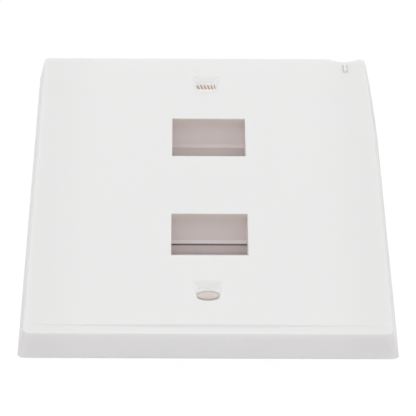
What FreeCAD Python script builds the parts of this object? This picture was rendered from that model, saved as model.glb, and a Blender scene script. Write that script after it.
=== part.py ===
"""Two-port keystone faceplate for a single-gang wall box, as a parametric FreeCAD document.

The real plate is one injection moulding, so the model is one PartDesign body: a drafted shell with a
softly stepped panel, two sleeves that take keystone jacks, two slotted screw bosses and stiffening
ribs. +X is the plate's width, +Y its length, +Z the way the face looks. The origin lies midway
between the two screw slots, on the back plane of the rim.
"""
import FreeCAD, Part
import math
import os
import re
import Sketcher

doc = FreeCAD.newDocument("keystone_faceplate")

# ---------------------------------------------------------------- driving dimensions, mm and degrees
SIZES = {
    "plate_width": 70.0,  # rim, across
    "plate_length": 114.3,  # rim, along
    "plate_centre": -0.2,  # rim's centre above the middle of the two screw slots
    "corner_radius": 1.4,  # rim's corners, seen from the front
    "bow_depth": 0.75,  # how far the upper right side is drawn in at its top
    "bow_start": 20.0,  # height above the rim's centre where that bow begins
    "wall_height": 4.7,  # rim's back plane to the ledge at each end
    "wall_inset": 1.03,  # how far the side walls lean in over that height
    "shell_wall": 2.0,  # thickness of the face and of the side walls
    "ledge_drop": 0.42,  # step from the panel down to the ledge, at its deepest
    "ledge_width": 2.4,  # ledge, from the wall's top edge to the step
    "ledge_slope": 0.3,  # how far the step leans back over its height
    "edge_radius": 0.4,  # rounding where the face meets the side walls
    "port_width": 14.7,  # keystone opening, across
    "port_height": 16.2,  # keystone opening, along
    "port_pitch": 39.8,  # from one port's centre to the other's
    "port_middle": -0.1,  # middle of the two ports above the middle of the slots
    "port_shift": 0.37,  # ports' centre line to the right of the slots'
    "port_depth": 9.9,  # face to the back end of a sleeve
    "sleeve_wall": 1.6,  # walls of a sleeve
    "catch_depth": 9.0,  # face to both catches
    "lug_depth": 6.65,  # face to the pocket that takes the jack's fixed lug
    "lug_pocket": 0.15,  # depth of that pocket into the sleeve's wall
    "lug_lip": 0.7,  # how far the lug's catch stands out of that wall
    "ramp_depth": 5.9,  # face to the start of the ramp above the lug pocket
    "ramp_length": 0.6,  # ramp, along the jack's way in
    "ramp_rise": 0.3,  # how far the ramp stands out of the wall
    "lip_depth": 3.0,  # face to the clearance behind the latch side's lip
    "latch_room": 5.0,  # depth of the clearance that the jack's latch springs in
    "panel_cut": 19.3,  # lug catch to latch catch, as a thin panel is cut for a keystone jack
    "latch_lead": 0.7,  # how far the latch catch slopes back at its open end
    "slot_spacing": 85.0,  # centre to centre of the two screw slots
    "slot_width": 4.45,  # slot, across: clears a No. 6 screw
    "slot_length": 5.2,  # slot, along: reaches the standard screws, 83.3 apart
    "recess_length": 6.2,  # floor of the recess round a slot, from the slot's lower end upwards
    "recess_width": 3.9,  # that floor, across
    "recess_radius": 0.4,  # that floor's corners
    "recess_drop": 1.05,  # depth of the floor at its upper end; at its lower end it meets the face
    "recess_flare": 45.0,  # how far the recess's sides lean out from the floor's normal
    "boss_wall": 2.2,  # wall of the boss round each slot
    "rib_wall": 1.2,  # thickness of the stiffening ribs
    "rib_setback": 1.6,  # rim's back plane to the ribs' free edge
    "rib_spread": 15.5,  # long ribs, from the ports' centre line
    "notch_radius": 2.6,  # scallop in the top edge, for a screwdriver's tip
    "notch_depth": 1.6,  # how far the scallop cuts into the edge
    "notch_place": 29.0,  # scallop, to the right of the slots
    "pip_width": 0.6,  # raised bar below the scallop, across
    "pip_length": 3.2,  # that bar, along
    "pip_height": 0.3,  # how far it stands out of the face
    "pip_gap": 1.95,  # scallop's foot to the bar
    "pip_moat": 0.2,  # width and depth of the groove round the bar
}
OVERRUN = 1.0  # how far a cut runs past the surface that it starts or ends at
UPRIGHT = FreeCAD.Vector(0, 0, 1)
ACROSS = FreeCAD.Vector(1, 0, 0)

sheet = doc.addObject("Spreadsheet::Sheet", "Sizes")
for row, (alias, size) in enumerate(SIZES.items(), start=1):
    sheet.set(f"A{row}", alias)
    sheet.set(f"B{row}", str(size))
    sheet.setAlias(f"B{row}", alias)
doc.recompute()

# ---------------------------------------------------------------- what follows from them, as formulas
FACE = "(wall_height + ledge_drop)"
FACE_INSET = f"(wall_inset * {FACE} / wall_height)"
INSIDE = f"({FACE} - shell_wall)"
EMBED = f"({FACE} - shell_wall / 2)"  # where ribs, bosses and sleeves end inside the face
TOP = "(plate_centre + plate_length / 2)"
BOTTOM = "(plate_centre - plate_length / 2)"
SLEEVE_BACK = f"({FACE} - port_depth)"
UPPER_PORT = "(port_middle + port_pitch / 2)"
LUG_SIDE = f"({UPPER_PORT} + port_height / 2)"
LATCH_SIDE = f"({UPPER_PORT} - port_height / 2)"
LATCH_CATCH = f"({LUG_SIDE} - lug_lip - panel_cut)"
LATCH_WALL = f"({LATCH_SIDE} - latch_room)"
LUG_OUTSIDE = f"({LUG_SIDE} + lug_pocket + sleeve_wall)"
LATCH_OUTSIDE = f"({LATCH_WALL} - sleeve_wall)"

body = doc.addObject("PartDesign::Body", "faceplate")
body.Label = "faceplate"


# ---------------------------------------------------------------- helpers
def sized(formula):
    """The formula with each alias written as the sheet's own."""
    return re.sub(r"[a-z]\w+", lambda word: f"Sizes.{word[0]}" if word[0] in SIZES else word[0], formula)


def value_of(formula):
    """The number that a formula gives now."""
    return float(body.evalExpression(sized(formula)))


def origin_part(role):
    """One of the body's own origin planes or axes."""
    return next(part for part in body.Origin.OriginFeatures if part.Role == role)


def sketch_on(name, role, offset="0"):
    """An empty sketch on an origin plane, moved along the plane's normal."""
    sketch = body.newObject("Sketcher::SketchObject", name)
    sketch.AttachmentSupport = [(origin_part(role), "")]
    sketch.MapMode = "FlatFace"
    sketch.setExpression("AttachmentOffset.Base.z", sized(offset))
    sketch.Visibility = False
    return sketch


def rule(sketch, formula, kind, *places):
    """A dimension of the sketch that follows a formula."""
    index = sketch.addConstraint(Sketcher.Constraint(kind, *places, value_of(formula)))
    sketch.setExpression(f"Constraints[{index}]", sized(formula))


def pin(sketch, edge, point, across, up):
    """Holds a point of an edge at two coordinates from the sketch's origin."""
    rule(sketch, across, "DistanceX", -1, 1, edge, point)
    rule(sketch, up, "DistanceY", -1, 1, edge, point)


def vector(across, up):
    """A point of a sketch, from two formulas."""
    return FreeCAD.Vector(value_of(across), value_of(up), 0)


def chain(sketch, corners, last=None):
    """Straight sides from corner to corner. The outline closes on itself, or through the edge last."""
    places = [vector(*corner) for corner in corners]
    ends = places[1:] + ([places[0]] if last is None else [])
    edges = [sketch.addGeometry(Part.LineSegment(*pair)) for pair in zip(places, ends)]
    if last is not None:
        edges.append(sketch.addGeometry(last))
    for edge, following in zip(edges, edges[1:] + edges[:1]):
        sketch.addConstraint(Sketcher.Constraint("Coincident", edge, 2, following, 1))
    for edge, corner in zip(edges, corners):
        pin(sketch, edge, 1, *corner)
    return edges


def rectangle(sketch, left, right, low, high):
    """A closed rectangle between four formulas."""
    chain(sketch, [(left, low), (right, low), (right, high), (left, high)])


def circle(sketch, across, up, diameter):
    """A circle about a point."""
    edge = sketch.addGeometry(Part.Circle(vector(across, up), UPRIGHT, value_of(diameter) / 2))
    pin(sketch, edge, 3, across, up)
    rule(sketch, diameter, "Diameter", edge)


def loop(sketch, edges):
    """Joins edges to a smooth closed outline and returns their places in the sketch."""
    places = [sketch.addGeometry(edge) for edge in edges]
    for place, following in zip(places, places[1:] + places[:1]):
        sketch.addConstraint(Sketcher.Constraint("Tangent", place, 2, following, 1))
    return places


def slot(sketch, up, width, length):
    """An upright slot on the centre line: two straight sides between two half circles."""
    middles = [f"{up} {sign} ({length} - {width}) / 2" for sign in "+-"]
    ends = [Part.Circle(vector("0", middle), UPRIGHT, value_of(f"{width} / 2")) for middle in middles]
    upper = Part.ArcOfCircle(ends[0], 0, math.pi)
    lower = Part.ArcOfCircle(ends[1], math.pi, 2 * math.pi)
    left = Part.LineSegment(upper.EndPoint, lower.StartPoint)
    right = Part.LineSegment(lower.EndPoint, upper.StartPoint)
    places = loop(sketch, [upper, left, lower, right])
    for place, middle in zip(places[::2], middles):
        pin(sketch, place, 3, "0", middle)
    rule(sketch, f"{width} / 2", "Radius", places[0])


def rounded(sketch, up, width, length, radius):
    """An upright rectangle on the centre line, with rounded corners."""
    corners = [
        (f"{across}({width} / 2 - {radius})", f"{up} {along} ({length} / 2 - {radius})")
        for across, along in (("", "+"), ("-", "+"), ("-", "-"), ("", "-"))
    ]
    arcs = []
    for turn, corner in enumerate(corners):
        whole = Part.Circle(vector(*corner), UPRIGHT, value_of(radius))
        arcs.append(Part.ArcOfCircle(whole, turn * math.pi / 2, (turn + 1) * math.pi / 2))
    pairs = list(zip(arcs, arcs[1:] + arcs[:1]))
    sides = [Part.LineSegment(arc.EndPoint, following.StartPoint) for arc, following in pairs]
    places = loop(sketch, [edge for pair in zip(arcs, sides) for edge in pair])
    for place, corner in zip(places[::2], corners):
        pin(sketch, place, 3, *corner)
        rule(sketch, radius, "Radius", place)


def feature(kind, name, profile=None, **formulas):
    """A feature of the body whose numbers follow formulas."""
    made = body.newObject(f"PartDesign::{kind}", name)
    if profile is not None:
        made.Profile = profile
    for prop, formula in formulas.items():
        made.setExpression(prop, sized(formula))
    return made


def dressed(kind, name, piece, keep, **formulas):
    """A feature on those faces or edges of the solid so far for which keep is true."""
    doc.recompute()
    solid = body.Tip
    pieces = enumerate(getattr(solid.Shape, f"{piece}s"), start=1)
    names = [f"{piece}{index}" for index, shape in pieces if keep(shape)]
    made = feature(kind, name, **formulas)
    made.Base = (solid, names)
    return made


# ---------------------------------------------------------------- shell: a drafted, hollow tray
def bow_arc():
    """The upper right side: an arc that leaves the straight side without a kink and leans inwards."""
    rise = value_of("plate_length / 2 - bow_start")
    depth = value_of("bow_depth")
    radius = (rise**2 + depth**2) / (2 * depth)
    centre = vector(f"plate_width / 2 - {radius}", "plate_centre + bow_start")
    whole = Part.Circle(centre, UPRIGHT, radius)
    return Part.ArcOfCircle(whole, 0, 2 * (depth / rise))


def leans(face):
    """True for the blank's side faces."""
    return abs(face.normalAt(0, 0).z) < 0.5


def at_corner(edge):
    """True for the upright edges at the tray's four outer corners, not inside and not at the bow."""
    reach = abs(edge.CenterOfMass.y - value_of("plate_centre"))
    upright = edge.BoundBox.ZLength > value_of("wall_height / 2")
    return upright and reach > value_of("plate_length / 2 - shell_wall")


def rims_face(edge):
    """True for the edges all round the face."""
    return edge.BoundBox.ZMin > value_of(FACE) - Part.Precision.confusion()


RIGHT, LEFT = "(plate_width / 2)", "(-plate_width / 2)"
outline = sketch_on("rim_outline", "XY_Plane")
*_, bow = chain(
    outline,
    [
        (f"{RIGHT} - bow_depth", TOP),
        (LEFT, TOP),
        (LEFT, BOTTOM),
        (RIGHT, BOTTOM),
        (RIGHT, "plate_centre + bow_start"),
    ],
    last=bow_arc(),
)
rule(outline, "plate_centre + bow_start", "DistanceY", -1, 1, bow, 3)
feature("Pad", "blank", outline, Length=FACE)
draft = dressed("Draft", "wall_draft", "Face", leans, Angle="atan(wall_inset / wall_height)")
draft.NeutralPlane = (origin_part("XY_Plane"), [""])
shell = dressed("Thickness", "shell", "Face", lambda face: face.BoundBox.ZMax < OVERRUN, Value="shell_wall")
shell.Reversed = True
dressed("Fillet", "rim_corners", "Edge", at_corner, Radius="corner_radius")
dressed("Fillet", "face_edges", "Edge", rims_face, Radius="edge_radius")

# ---------------------------------------------------------------- ledges: a step that fades at its ends
PAST_FACE = f"({FACE} + {OVERRUN})"
ABOVE = f"({PAST_FACE} + {OVERRUN})"
WALL_TOP = "(plate_length / 2 - wall_inset)"
STEP_CREST = f"(ledge_slope * (ledge_drop + {OVERRUN}) / ledge_drop)"
for end, sign in (("top", "+"), ("bottom", "-")):
    sections = []
    for name, inwards, floor in (
        ("edge", "0", "wall_height"),
        ("foot", "ledge_width", FACE),
        ("crest", f"(ledge_width + {STEP_CREST})", PAST_FACE),
    ):
        place = f"-(plate_centre {sign} ({WALL_TOP} - {inwards}))"
        sections.append(sketch_on(f"{end}_ledge_{name}", "XZ_Plane", place))
        corners = [(RIGHT, floor), (RIGHT, ABOVE), (LEFT, ABOVE), (LEFT, floor)]
        if name == "foot":
            dip = Part.Arc(vector(LEFT, floor), vector("0", "wall_height"), vector(RIGHT, floor))
            *_, arc = chain(sections[-1], corners, last=dip)
            rule(sections[-1], f"({RIGHT}^2 + ledge_drop^2) / (2 * ledge_drop)", "Radius", arc)
        else:
            chain(sections[-1], corners)
    ledge = feature("SubtractiveLoft", f"{end}_ledge", sections[0])
    ledge.Sections = [(section, [""]) for section in sections[1:]]
    ledge.Ruled = True

# ---------------------------------------------------------------- stiffening: ribs and screw bosses
long_ribs = sketch_on("long_rib_lines", "XY_Plane", "rib_setback")
for sign in "+-":
    middle = f"port_shift {sign} rib_spread"
    rectangle(
        long_ribs,
        f"{middle} - rib_wall / 2",
        f"{middle} + rib_wall / 2",
        f"{BOTTOM} + shell_wall",
        f"{TOP} - shell_wall",
    )
feature("Pad", "long_ribs", long_ribs, Length=f"{EMBED} - rib_setback")

cross_ribs = sketch_on("cross_rib_lines", "XY_Plane", "rib_setback")
LOWER_PORT = f"({UPPER_PORT} - port_pitch)"
for middle in ("slot_spacing / 2", UPPER_PORT, "port_middle", LOWER_PORT, "-slot_spacing / 2"):
    rectangle(
        cross_ribs,
        f"{LEFT} + shell_wall",
        f"{RIGHT} - shell_wall",
        f"{middle} - rib_wall / 2",
        f"{middle} + rib_wall / 2",
    )
feature("Pad", "cross_ribs", cross_ribs, Length=f"{EMBED} - rib_setback")

bosses = sketch_on("boss_outlines", "XY_Plane")
for sign in ("", "-"):
    slot(bosses, f"{sign}slot_spacing / 2", "(slot_width + 2 * boss_wall)", "(slot_length + 2 * boss_wall)")
feature("Pad", "bosses", bosses, Length=EMBED)

# ---------------------------------------------------------------- keystone sleeves
collar = sketch_on("sleeve_outline", "XY_Plane", SLEEVE_BACK)
rectangle(
    collar,
    "port_shift - port_width / 2 - sleeve_wall",
    "port_shift + port_width / 2 + sleeve_wall",
    LATCH_OUTSIDE,
    LUG_OUTSIDE,
)
sleeve = feature("Pad", "sleeve", collar, Length=f"{EMBED} - {SLEEVE_BACK}")

section = sketch_on("port_section", "YZ_Plane", "port_shift")
RAMP_TOP = f"({FACE} - ramp_depth)"
CATCH = f"({FACE} - catch_depth)"
PAST_BACK = f"({SLEEVE_BACK} - {OVERRUN})"
chain(
    section,
    [
        (LUG_SIDE, PAST_FACE),
        (LATCH_SIDE, PAST_FACE),
        (LATCH_SIDE, f"{FACE} - lip_depth"),
        (LATCH_WALL, f"{FACE} - lip_depth"),
        (LATCH_WALL, CATCH),
        (LATCH_CATCH, CATCH),
        (f"{LATCH_CATCH} - latch_lead", SLEEVE_BACK),
        (f"{LATCH_CATCH} - latch_lead", PAST_BACK),
        (f"{LUG_SIDE} - lug_lip", PAST_BACK),
        (f"{LUG_SIDE} - lug_lip", CATCH),
        (f"{LUG_SIDE} + lug_pocket", CATCH),
        (f"{LUG_SIDE} + lug_pocket", f"{FACE} - lug_depth"),
        (f"{LUG_SIDE} - ramp_rise", f"{FACE} - lug_depth"),
        (f"{LUG_SIDE} - ramp_rise", f"{RAMP_TOP} - ramp_length"),
        (LUG_SIDE, RAMP_TOP),
    ],
)
port = feature("Pocket", "port", section, Length="port_width")
port.Midplane = True

pair = feature("LinearPattern", "port_pair", Length="port_pitch")
pair.Originals = [sleeve, port]
pair.Direction = (origin_part("Y_Axis"), [""])
pair.Reversed = True
pair.Occurrences = 2
body.Tip = pair

# ---------------------------------------------------------------- screw slots, scallop and raised bar
slots = sketch_on("slot_outlines", "XY_Plane", f"-{OVERRUN}")
for name, sign in (("upper", ""), ("lower", "-")):
    slot(slots, f"{sign}slot_spacing / 2", "slot_width", "slot_length")
    floor = sketch_on(f"{name}_recess_floor", "XY_Plane", FACE)
    floor.AttachmentOffset = FreeCAD.Placement(FreeCAD.Vector(), FreeCAD.Rotation(ACROSS, 1))
    floor.setExpression("AttachmentOffset.Base.y", sized(f"{sign}slot_spacing / 2 - slot_length / 2"))
    floor.setExpression("AttachmentOffset.Rotation.Angle", sized("-asin(recess_drop / recess_length)"))
    rounded(floor, "recess_length / 2", "recess_width", "recess_length", "recess_radius")
    recess = feature("Pocket", f"{name}_recess", floor, Length=f"recess_drop + {OVERRUN}")
    recess.setExpression("TaperAngle", sized("recess_flare"))
    recess.Reversed = True
cut = feature("Pocket", "screw_slots", slots, Length=f"{PAST_FACE} + {OVERRUN}")
cut.Reversed = True

scallop = sketch_on("scallop_circle", "XY_Plane")
circle(scallop, "notch_place", f"{TOP} + notch_radius - notch_depth", "2 * notch_radius")
notch = feature("Pocket", "notch", scallop, Length=f"{FACE} + {OVERRUN}")
notch.setExpression("TaperAngle", sized("atan(wall_inset / wall_height)"))
notch.Reversed = True

PIP_TOP = f"({TOP} - {FACE_INSET} - notch_depth - pip_gap)"
bar = sketch_on("pip_outline", "XY_Plane", f"{FACE} - 2 * pip_moat")
moat = sketch_on("moat_outline", "XY_Plane", f"{FACE} - pip_moat")
for outline, margin in ((bar, "0"), (moat, "pip_moat")):
    rectangle(
        outline,
        f"notch_place - pip_width / 2 - {margin}",
        f"notch_place + pip_width / 2 + {margin}",
        f"{PIP_TOP} - pip_length - {margin}",
        PIP_TOP,
    )
groove = feature("Pocket", "moat", moat, Length=f"pip_moat + {OVERRUN}")
groove.Reversed = True
feature("Pad", "pip", bar, Length="2 * pip_moat + pip_height")
doc.recompute()

# ---------------------------------------------------------------- check and write
faults = [item.Label for item in doc.Objects if {"Invalid", "Error"} & set(item.State)]
if faults or body.Shape.isNull() or not body.Shape.isValid() or len(body.Shape.Solids) != 1:
    raise SystemExit(f"not one sound solid: {faults}")
os.makedirs("parts", exist_ok=True)
body.Shape.exportStep(f"parts/{body.Label}.step")
print(f"{body.Label}: {body.Shape.Volume / 1000:.2f} cm3, {len(body.Shape.Faces)} faces")
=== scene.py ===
"""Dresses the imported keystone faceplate: one satin white moulding, shown lying on its back."""
import math

import bmesh
import bpy
import numpy as np
from mathutils import Matrix, Vector


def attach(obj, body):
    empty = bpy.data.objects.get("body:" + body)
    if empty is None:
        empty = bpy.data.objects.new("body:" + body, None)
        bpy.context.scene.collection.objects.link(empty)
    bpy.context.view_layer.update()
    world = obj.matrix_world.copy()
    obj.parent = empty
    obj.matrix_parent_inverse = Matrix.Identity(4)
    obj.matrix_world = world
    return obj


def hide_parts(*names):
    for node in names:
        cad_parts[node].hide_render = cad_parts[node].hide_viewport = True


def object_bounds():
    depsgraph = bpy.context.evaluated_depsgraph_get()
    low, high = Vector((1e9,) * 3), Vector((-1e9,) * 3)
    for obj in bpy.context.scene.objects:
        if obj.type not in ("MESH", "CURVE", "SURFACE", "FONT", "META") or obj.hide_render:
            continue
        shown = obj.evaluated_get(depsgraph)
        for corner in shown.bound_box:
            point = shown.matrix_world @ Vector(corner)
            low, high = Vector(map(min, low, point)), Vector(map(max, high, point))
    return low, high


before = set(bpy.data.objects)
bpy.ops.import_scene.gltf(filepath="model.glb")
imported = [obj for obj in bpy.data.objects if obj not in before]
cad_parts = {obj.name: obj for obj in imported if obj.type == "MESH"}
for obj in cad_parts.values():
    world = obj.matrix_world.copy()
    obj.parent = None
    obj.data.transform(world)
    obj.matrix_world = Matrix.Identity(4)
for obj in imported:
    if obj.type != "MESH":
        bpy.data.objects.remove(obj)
cad_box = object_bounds()

# ---------------------------------------------------------------- the moulded plate
# One injection moulding in white ABS: face, leaning side walls, keystone sleeves, screw bosses and ribs.
# The mould leaves a satin face and small soft edges, and the plastic scatters light a little. The deep
# openings have painted warm light and shade, and the lower slot and the ribs a painted glow, so that they
# look warm instead of grey. It is screwed to a wall box through its two slots.
MM = 0.001

# How close corners are joined and how flat a stretch is made whole, then the rounding that the mould leaves
# on the edges, and how much the flat faces lead the shading.
JOIN_DISTANCE, FLAT_ANGLE = 0.002 * MM, math.radians(0.5)
EDGE_ROUND, EDGE_STEPS, EDGE_ANGLE = 0.15 * MM, 2, math.radians(25)
FACE_WEIGHT = 100

# The face's height, and depths below it in a sleeve. The blend of painted shade from mouth to inside starts
# above the face, so that the mouth is already part of the way into it.
FACE_Z, MOUTH_DEPTH, TONE_START, TONE_END = 5.12 * MM, 0.25 * MM, -2.5 * MM, 5 * MM
RAMP_DEPTH, RAMP_END, CREASE_END = 5.9 * MM, 6.62 * MM, 7.1 * MM

# The ports' middles and sides, then the ends of a sleeve's inside and its lug wall, from the port's middle.
UPPER_PORT_Y, LOWER_PORT_Y = 19.8 * MM, -20.0 * MM
PORT_LEFT, PORT_RIGHT, PORT_SOFT = -6.98 * MM, 7.72 * MM, 0.3 * MM
ROOM_LOW, ROOM_HIGH, ROOM_SOFT = -13.17 * MM, 8.33 * MM, 0.2 * MM
LUG_WALL, LUG_SOFT, RAMP_SOFT, CREASE_SOFT = 7.4 * MM, 0.1 * MM, 0.05 * MM, 0.15 * MM

# The screw slots, the recess's floor, which sinks from a slot's lower end on, the slot's wall from its rim
# to the slope where its foot starts, and the recess's two leaning sides.
SLOT_Y, SLOT_HALF_WIDTH, SLOT_HALF_LENGTH, SLOT_SOFT = 42.5 * MM, 2.225 * MM, 2.6 * MM, 0.1 * MM
RECESS_SLOPE, WALL_START, WALL_END = 0.172, 0.05 * MM, 0.12 * MM
LIT_START, LIT_END = -0.3 * MM, 0.9 * MM
SHADE_SLOPE, SHADE_START, SHADE_END = 1.108, -0.35 * MM, -0.05 * MM
FLANK_INNER, FLANK_OUTER, FLANK_REACH, FLANK_SOFT = 1.9 * MM, 3.1 * MM, 4.0 * MM, 0.2 * MM
FLANK_START, FLANK_END = 0.02 * MM, 0.15 * MM

# The plastic's colours: the face and the painted shade at its long sides, the painted warm light and shade in
# the ports from mouth to back, with a painted highlight on the ramp and a painted shadow in the crease, the
# slot's painted light and shade from rim to foot, the painted light on the recesses' sides and the slot's
# painted glow.
WHITE, SIDE_SHADE_SHARE, SIDE_START, SIDE_END = (0.80, 0.80, 0.795, 1), 0.04, 20 * MM, 34 * MM
MOUTH_SHADE, PORT_WARM_LIGHT, BACK_SHADE = (0.58, 0.53, 0.49, 1), (0.88, 0.81, 0.795, 1), (0.82, 0.755, 0.745, 1)
RAMP_HIGHLIGHT, CREASE_SHADOW = (0.98, 0.93, 0.925, 1), (0.17, 0.145, 0.135, 1)
SLOT_RIM_SHADE, SLOT_PAINTED_LIGHT = (0.58, 0.53, 0.50, 1), (1.0, 0.97, 0.94, 1)
SLOT_FOOT_SHADE, FLANK_PAINTED_LIGHT = (0.90, 0.82, 0.79, 1), (0.86, 0.855, 0.85, 1)
SLOT_PAINTED_GLOW, NO_GLOW = (0.17, 0.15, 0.135, 1), (0, 0, 0, 1)

# The plastic's finish: how it scatters light, its gloss and the mottle in it, and the mould's fine grain.
SCATTER, SCATTER_REACH, SCATTER_COLOURS, REFRACTION = 0.5, 2.5 * MM, (1.0, 0.9, 0.86), 1.5
GLOSS_ROUGHNESS, MOTTLE_SHARE, MOTTLE_SCALE, MOTTLE_DETAIL = 0.36, 0.08, 90.0, 2.0
GRAIN_SCALE, GRAIN_DETAIL, GRAIN_STRENGTH, GRAIN_HEIGHT = 2600.0, 3.0, 0.05, 0.02 * MM


class Wire:
    """One output of a shader node, with the arithmetic that the plastic's patterns are written in."""

    def __init__(self, tree, socket=None):
        self.tree = tree
        self.socket = socket

    def node(self, kind, settings=(), output=0, **inputs):
        """Adds a node of any kind and gives its output. Its settings are set first, then its inputs, each
        to a value or a wire. An input is called by its name, or by the letter i and its number."""
        made = self.tree.nodes.new(kind)
        for name, value in dict(settings).items():
            setattr(made, name, value)
        for name, value in inputs.items():
            key = int(name[1:]) if name[1:].isdigit() else name.replace("_", " ")
            if isinstance(value, Wire):
                self.tree.links.new(value.socket, made.inputs[key])
            else:
                made.inputs[key].default_value = value
        return Wire(self.tree, made.outputs[output] if made.outputs else None)

    def math(self, operation, *values, clamp=False):
        """A Math node that takes wires or numbers."""
        inputs = {f"i{index}": value for index, value in enumerate(values)}
        return self.node("ShaderNodeMath", {"operation": operation, "use_clamp": clamp}, **inputs)

    def __add__(self, other):
        return self.math("ADD", self, other)

    def __sub__(self, other):
        return self.math("SUBTRACT", self, other)

    def __rsub__(self, other):
        return self.math("SUBTRACT", other, self)

    def __mul__(self, other):
        return self.math("MULTIPLY", self, other)

    def __abs__(self):
        return self.math("ABSOLUTE", self)

    __radd__ = __add__
    __rmul__ = __mul__

    def blend(self, low, high):
        """The colour low where this wire is 0, and high where it is 1."""
        settings = {"data_type": "RGBA", "clamp_factor": True}
        return self.node("ShaderNodeMix", settings, output=2, i0=self, i6=low, i7=high)

    def step(self, start, end):
        """0 up to start, 1 from end on, and a smooth rise between them."""
        settings = {"interpolation_type": "SMOOTHSTEP"}
        return self.node("ShaderNodeMapRange", settings, Value=self, From_Min=start, From_Max=end)

    def between(self, low, high, soft):
        """1 from low to high, and a smooth fall to 0 over a soft border past each of them."""
        reach = (high - low) / 2
        return 1 - abs(self - (low + reach)).step(reach, reach + soft)

    def feed(self, shader, name):
        """Leads this wire to a named input of a shader."""
        self.tree.links.new(self.socket, shader.inputs[name])


def plastic(name):
    """A new material, its shader, and the wire of the place in the plate."""
    material = bpy.data.materials.new(name)
    material.use_nodes = True
    tree = material.node_tree
    return material, tree.nodes["Principled BSDF"], Wire(tree).node("ShaderNodeTexCoord", output="Object")


def ways(here):
    """The way across the plate, the way up it, and the depth below its face."""
    x, y, z = (here.node("ShaderNodeSeparateXYZ", output=axis, Vector=here) for axis in range(3))
    return x, y, FACE_Z - z


def port_light_and_shade(x, y, depth):
    """Where the sleeves' insides are, and their painted light and shade: warm painted shade at the mouth,
    warm painted light further in, and duller painted shade behind the lug pocket's edge. In the lower sleeve
    a painted highlight on the ramp ends in a painted shadow along the crease."""
    upper, lower = (
        (y - middle).between(ROOM_LOW, ROOM_HIGH, ROOM_SOFT) for middle in (UPPER_PORT_Y, LOWER_PORT_Y)
    )
    inside = (upper + lower) * x.between(PORT_LEFT, PORT_RIGHT, PORT_SOFT) * depth.step(0, MOUTH_DEPTH)
    tone = depth.step(TONE_START, TONE_END).blend(MOUTH_SHADE, PORT_WARM_LIGHT)
    tone = depth.step(RAMP_END, CREASE_END).blend(tone, BACK_SHADE)
    lug_side = (y - LOWER_PORT_Y).step(LUG_WALL, LUG_WALL + LUG_SOFT) * lower
    ramp = lug_side * depth.between(RAMP_DEPTH, RAMP_END, RAMP_SOFT)
    crease = lug_side * depth.between(RAMP_END, CREASE_END, CREASE_SOFT)
    return inside, crease.blend(ramp.blend(tone, RAMP_HIGHLIGHT), CREASE_SHADOW)


def slot_light_and_shade(x, y, depth):
    """Where the lower slot's wall is, its painted light and shade, and its painted glow, though it is no
    lamp.
    Below the recess's sloping floor the wall is painted darker at the rim and paler further down, and past a
    steeper slope lies the foot, painted as shade where light reaches least."""
    along = y + SLOT_Y
    fall = depth - (along + SLOT_HALF_LENGTH) * RECESS_SLOPE
    length = along.between(-SLOT_HALF_LENGTH, SLOT_HALF_LENGTH, SLOT_SOFT)
    width = x.between(-SLOT_HALF_WIDTH, SLOT_HALF_WIDTH, SLOT_SOFT)
    wall = length * width * fall.step(WALL_START, WALL_END)
    lit = fall.step(LIT_START, LIT_END)
    foot = (depth - along * SHADE_SLOPE).step(SHADE_START, SHADE_END)
    tone = foot.blend(lit.blend(SLOT_RIM_SHADE, SLOT_PAINTED_LIGHT), SLOT_FOOT_SHADE)
    return wall, tone, (wall * (1 - foot) * lit).blend(NO_GLOW, SLOT_PAINTED_GLOW)


def white_moulding(name, white, scatter):
    """Satin white ABS with painted light and shade: a little greyer at the long sides as painted shade,
    painted light on the recesses' leaning sides, painted warm light and shade inside the openings and a
    painted glow in the lower slot, with a faint mottle in its gloss and the mould's fine grain."""
    material, shader, here = plastic(name)
    x, y, depth = ways(here)
    # Painted shade: the face a little greyer towards its long sides.
    painted_side_shade = (*(part * (1 - SIDE_SHADE_SHARE) for part in white[:3]), 1)
    face = abs(x).step(SIDE_START, SIDE_END).blend(white, painted_side_shade)
    # Painted light: the recesses' leaning sides are paler than the face.
    flanks = abs(y).between(SLOT_Y - FLANK_REACH, SLOT_Y + FLANK_REACH, FLANK_SOFT)
    flanks = flanks * depth.step(FLANK_START, FLANK_END)
    flanks = flanks * abs(x).between(FLANK_INNER, FLANK_OUTER, FLANK_SOFT)
    ports, port_shading_paint = port_light_and_shade(x, y, depth)
    slot, slot_shading_paint, glow = slot_light_and_shade(x, y, depth)
    tone = slot.blend(ports.blend(flanks.blend(face, FLANK_PAINTED_LIGHT), port_shading_paint), slot_shading_paint)
    tone.feed(shader, "Base Color")
    # The lower slot's painted glow, though it is no lamp.
    glow.feed(shader, "Emission Color")
    shader.inputs["Emission Strength"].default_value = 1
    shader.inputs["IOR"].default_value = REFRACTION
    shader.inputs["Subsurface Weight"].default_value = scatter
    shader.inputs["Subsurface Radius"].default_value = SCATTER_COLOURS
    shader.inputs["Subsurface Scale"].default_value = SCATTER_REACH
    mottle = here.node("ShaderNodeTexNoise", Vector=here, Scale=MOTTLE_SCALE, Detail=MOTTLE_DETAIL)
    (GLOSS_ROUGHNESS + mottle * MOTTLE_SHARE).feed(shader, "Roughness")
    grain = here.node("ShaderNodeTexNoise", Vector=here, Scale=GRAIN_SCALE, Detail=GRAIN_DETAIL)
    relief = here.node("ShaderNodeBump", Strength=GRAIN_STRENGTH, Distance=GRAIN_HEIGHT, Height=grain)
    relief.feed(shader, "Normal")
    return material


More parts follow.
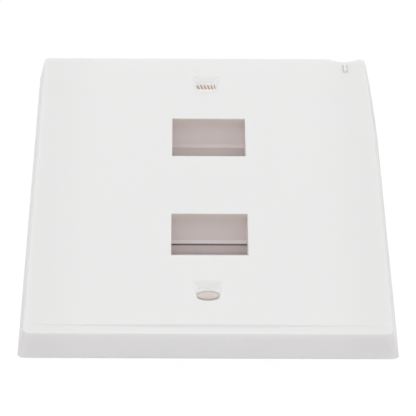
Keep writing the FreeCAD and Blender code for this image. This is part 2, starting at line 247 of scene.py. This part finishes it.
def plate_shell(source):
    """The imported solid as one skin: its loose triangles joined at their corners, and flat stretches made
    whole again, so that a small rounding can run along the edges."""
    mesh = source.data.copy()
    skin = bmesh.new()
    skin.from_mesh(mesh)
    bmesh.ops.remove_doubles(skin, verts=skin.verts, dist=JOIN_DISTANCE)
    bmesh.ops.dissolve_limit(
        skin, angle_limit=FLAT_ANGLE, verts=skin.verts, edges=skin.edges, use_dissolve_boundaries=False
    )
    for face in skin.faces:
        face.smooth = True
    skin.to_mesh(mesh)
    skin.free()
    mesh.materials.clear()
    made = bpy.data.objects.new("moulded_plate", mesh)
    bpy.context.scene.collection.objects.link(made)
    rounding = made.modifiers.new("moulded_edges", "BEVEL")
    rounding.width = EDGE_ROUND
    rounding.segments = EDGE_STEPS
    rounding.limit_method = "ANGLE"
    rounding.angle_limit = EDGE_ANGLE
    shading = made.modifiers.new("flat_faces", "WEIGHTED_NORMAL")
    shading.weight = FACE_WEIGHT
    shading.keep_sharp = True
    return made


plate = plate_shell(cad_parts["faceplate"])
plate.data.materials.append(white_moulding("white_abs", WHITE, SCATTER))
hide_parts("faceplate")
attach(plate, "root")

# ---------------------------------------------------------------- the grip in the upper screw slot
# Fine slanted ribs on the wall of the upper slot, below a narrow lip. They are moulded in one with the
# plate, in the same white ABS, and keep a screw in place while the plate is held up to the wall.
GRIP_HALF_WIDTH, GRIP_UPPER, GRIP_LOWER, GRIP_END = 2.05 * MM, 2.1 * MM, 1.6 * MM, 4.9 * MM
GRIP_COLUMNS, GRIP_ROWS, CORNER_POWER, CREASE_ANGLE = 320, 24, 4, math.radians(40)
RIB_PITCH, RIB_SLANT, RIB_SHIFT, RIB_HEIGHT = 0.7 * MM, 0.375, 0.457 * MM, 0.10 * MM
# The lip's drop and slope, its white, painted lighter than the plate's white as painted light, and its
# scatter.
LIP_DROP, LIP_SLOPE, LIP_LIT_WHITE, LIP_SCATTER = 0.02 * MM, 0.219, (0.86, 0.86, 0.855, 1), 0
CREST_START, CREST_END, FOOT_START, FOOT_END = -0.4, 0.8, 1.6 * MM, 2.5 * MM
# Painted light and shade on the ribs: a highlight on the crests, shade in the grooves and at their foot, and
# a glow on both.
RIB_CREST_HIGHLIGHT, RIB_GROOVE_SHADE, RIB_FOOT_SHADE = (1.0, 0.96, 0.93, 1), (0.63, 0.56, 0.52, 1), (0.30, 0.24, 0.23, 1)
RIB_PAINTED_GLOW, RIB_GROOVE_PAINTED_GLOW = (0.25, 0.22, 0.20, 1), (0.06, 0.05, 0.045, 1)
RIB_ROUGHNESS, RIB_SCATTER, RIB_SCATTER_REACH = 0.4, 0.1, 0.5 * MM


def screw_grip():
    """A ribbed lining below a lip. The lip runs from the slot's outline to a rounded oblong, whose radius is
    one over the fourth root of the sum of the fourth powers of the angle's cosine and sine, each over its
    half side, and which the slot's own wall limits. The lip's depth is a slope times the way up from its
    lower end, plus a small drop. Below it the rows go down evenly to the grip's end, and the wall is drawn
    in by the ribs' height times the cosine of a full turn for each pitch, taken across the slot and shifted
    with the depth, where that cosine is above 0."""
    angles = np.linspace(0, 2 * np.pi, GRIP_COLUMNS, endpoint=False)
    turn, row = np.meshgrid(angles, np.arange(GRIP_ROWS), indexing="ij")
    sine, cosine = np.sin(turn), np.cos(turn)
    half, middle = (GRIP_UPPER + GRIP_LOWER) / 2, (GRIP_UPPER - GRIP_LOWER) / 2
    powers = (cosine / GRIP_HALF_WIDTH) ** CORNER_POWER + (sine / half) ** CORNER_POWER
    radius = powers ** (-1 / CORNER_POWER)
    straight = SLOT_HALF_LENGTH - SLOT_HALF_WIDTH
    inner = middle + radius * sine
    room = np.sqrt(SLOT_HALF_WIDTH ** 2 - np.clip(np.abs(inner) - straight, 0, None) ** 2) - LIP_DROP
    outline = row == 0
    across = np.where(outline, SLOT_HALF_WIDTH * cosine, np.clip(radius * cosine, -room, room))
    along = np.where(outline, SLOT_HALF_WIDTH * sine + straight * np.sign(sine), inner)
    floor_slope = np.where(outline, RECESS_SLOPE, LIP_SLOPE)
    floor_start = np.where(outline, SLOT_HALF_LENGTH, GRIP_LOWER)
    lip = (along + floor_start) * floor_slope + LIP_DROP
    depth = lip + (GRIP_END - lip) * np.clip(row - 1, 0, None) / (GRIP_ROWS - 2)
    phase = 2 * np.pi * (across - RIB_SLANT * depth + RIB_SHIFT) / RIB_PITCH
    rise = RIB_HEIGHT * np.clip(np.cos(phase), 0, 1) * (row > 1)
    across, along = across - rise * cosine, along - rise * sine
    points = np.stack([across, SLOT_Y + along, FACE_Z - depth], axis=-1).reshape(-1, 3)
    places = np.arange(turn.size).reshape(turn.shape)
    following = np.roll(places, -1, axis=0)
    corners = [places[:, 1:], following[:, 1:], following[:, :-1], places[:, :-1]]
    faces = np.stack(corners, axis=-1).reshape(-1, 4)
    ribbed = np.tile(np.arange(GRIP_ROWS - 1) > 0, GRIP_COLUMNS)
    mesh = bpy.data.meshes.new("screw_grip")
    mesh.from_pydata(points.tolist(), [], faces.tolist())
    mesh.polygons.foreach_set("use_smooth", np.ones(len(faces), bool))
    mesh.set_sharp_from_angle(angle=CREASE_ANGLE)
    mesh.polygons.foreach_set("material_index", ribbed.astype(int))
    made = bpy.data.objects.new("screw_grip", mesh)
    bpy.context.scene.collection.objects.link(made)
    return made


def ribbed_plastic():
    """The same white plastic with painted light and shade: a painted highlight on the ribs' crests, warm
    painted shade between them and darker painted shade there further down, and a painted glow on both.
    """
    material, shader, here = plastic("ribbed_abs")
    x, _, depth = ways(here)
    phase = (x - depth * RIB_SLANT + RIB_SHIFT) * (2 * math.pi / RIB_PITCH)
    crest = phase.math("COSINE", phase).step(CREST_START, CREST_END)
    groove = depth.step(FOOT_START, FOOT_END).blend(RIB_GROOVE_SHADE, RIB_FOOT_SHADE)
    crest.blend(groove, RIB_CREST_HIGHLIGHT).feed(shader, "Base Color")
    crest.blend(RIB_GROOVE_PAINTED_GLOW, RIB_PAINTED_GLOW).feed(shader, "Emission Color")
    shader.inputs["Emission Strength"].default_value = 1
    shader.inputs["Roughness"].default_value = RIB_ROUGHNESS
    shader.inputs["Subsurface Weight"].default_value = RIB_SCATTER
    shader.inputs["Subsurface Radius"].default_value = SCATTER_COLOURS
    shader.inputs["Subsurface Scale"].default_value = RIB_SCATTER_REACH
    return material


grip = screw_grip()
# The lip takes the plate's moulding in a lighter white, as painted light, without scatter.
grip.data.materials.append(white_moulding("lip_abs", LIP_LIT_WHITE, LIP_SCATTER))
grip.data.materials.append(ribbed_plastic())
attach(grip, "root")

# ---------------------------------------------------------------- floor, light and camera
# The plate lies on a sheet of white paper, on the back ends of its sleeves. One large soft lamp hangs over
# it in an evenly lit white room, and the camera looks up the plate from low beyond its lower end. The room
# and the paper light the plate as pale surfaces do, and show white themselves.
PAPER_SIZE, PAPER, PAPER_GLOW, PAPER_SHARE = 3.0, (0.87, 0.83, 0.85, 1), 1.02, 0.97
ROOM_LIGHT, ROOM_SEEN = (0.80, 0.80, 0.80, 1), (1, 1, 1, 1)
LAMP_PLACE, LAMP_SIZE, LAMP_POWER = Vector((0, 0.15, 1.2)), 1.0, 3.7
CAMERA_HEIGHT, CAMERA_TURN, CAMERA_ROLL = (math.radians(angle) for angle in (28.99, -0.434, 0.438))
CAMERA_DISTANCE, CAMERA_LENS, AIM = 0.699, 306.7, Vector((0.00017, -0.00044, 0))


def seen_rays(start):
    """1 for rays that come straight from the camera, or by way of a reflection or a clear material."""
    straight, glossy, clear = (
        start.node("ShaderNodeLightPath", output=kind)
        for kind in ("Is Camera Ray", "Is Glossy Ray", "Is Transmission Ray")
    )
    return straight.math("ADD", straight + glossy, clear, clamp=True)


def white_paper():
    """Paper that shows white, and keeps a share of its own shading, so that it holds a faint shadow."""
    material = bpy.data.materials.new("white_paper")
    material.use_nodes = True
    material.node_tree.nodes.clear()
    start = Wire(material.node_tree)
    paper = start.node("ShaderNodeBsdfDiffuse", Color=PAPER)
    glow = start.node("ShaderNodeEmission", Strength=PAPER_GLOW)
    shown = start.node("ShaderNodeMixShader", Fac=seen_rays(start) * PAPER_SHARE, i1=paper, i2=glow)
    start.node("ShaderNodeOutputMaterial", Surface=shown)
    return material


half = PAPER_SIZE / 2
lowest = cad_box[0][2]
corners = [(-half, -half, lowest), (half, -half, lowest), (half, half, lowest), (-half, half, lowest)]
sheet = bpy.data.meshes.new("floor")
sheet.from_pydata(corners, [], [(0, 1, 2, 3)])
sheet.materials.append(white_paper())
floor = bpy.data.objects.new("floor", sheet)
bpy.context.scene.collection.objects.link(floor)

world = bpy.data.worlds.new("studio")
bpy.context.scene.world = world
world.use_nodes = True
room_tint = seen_rays(Wire(world.node_tree)).blend(ROOM_LIGHT, ROOM_SEEN)
room_tint.feed(world.node_tree.nodes["Background"], "Color")

light = bpy.data.lights.new("overhead", "AREA")
light.size = LAMP_SIZE
light.energy = LAMP_POWER
lamp = bpy.data.objects.new("overhead", light)
bpy.context.scene.collection.objects.link(lamp)
turn_down = (-LAMP_PLACE).to_track_quat("-Z", "Y").to_matrix().to_4x4()
lamp.matrix_world = Matrix.Translation(LAMP_PLACE) @ turn_down

flat = math.cos(CAMERA_HEIGHT)
back = Vector((math.sin(CAMERA_TURN) * flat, -math.cos(CAMERA_TURN) * flat, math.sin(CAMERA_HEIGHT)))
level = back.cross((0, 0, 1)).normalized() * -1
upward = back.cross(level)
view = Matrix((level, upward, back)).transposed().to_4x4() @ Matrix.Rotation(CAMERA_ROLL, 4, "Z")
camera_data = bpy.data.cameras.new("camera")
camera_data.lens = CAMERA_LENS
camera = bpy.data.objects.new("camera", camera_data)
camera.matrix_world = Matrix.Translation(AIM + back * CAMERA_DISTANCE) @ view
bpy.context.scene.collection.objects.link(camera)
bpy.context.scene.camera = camera
bpy.context.scene.view_settings.view_transform = "Standard"
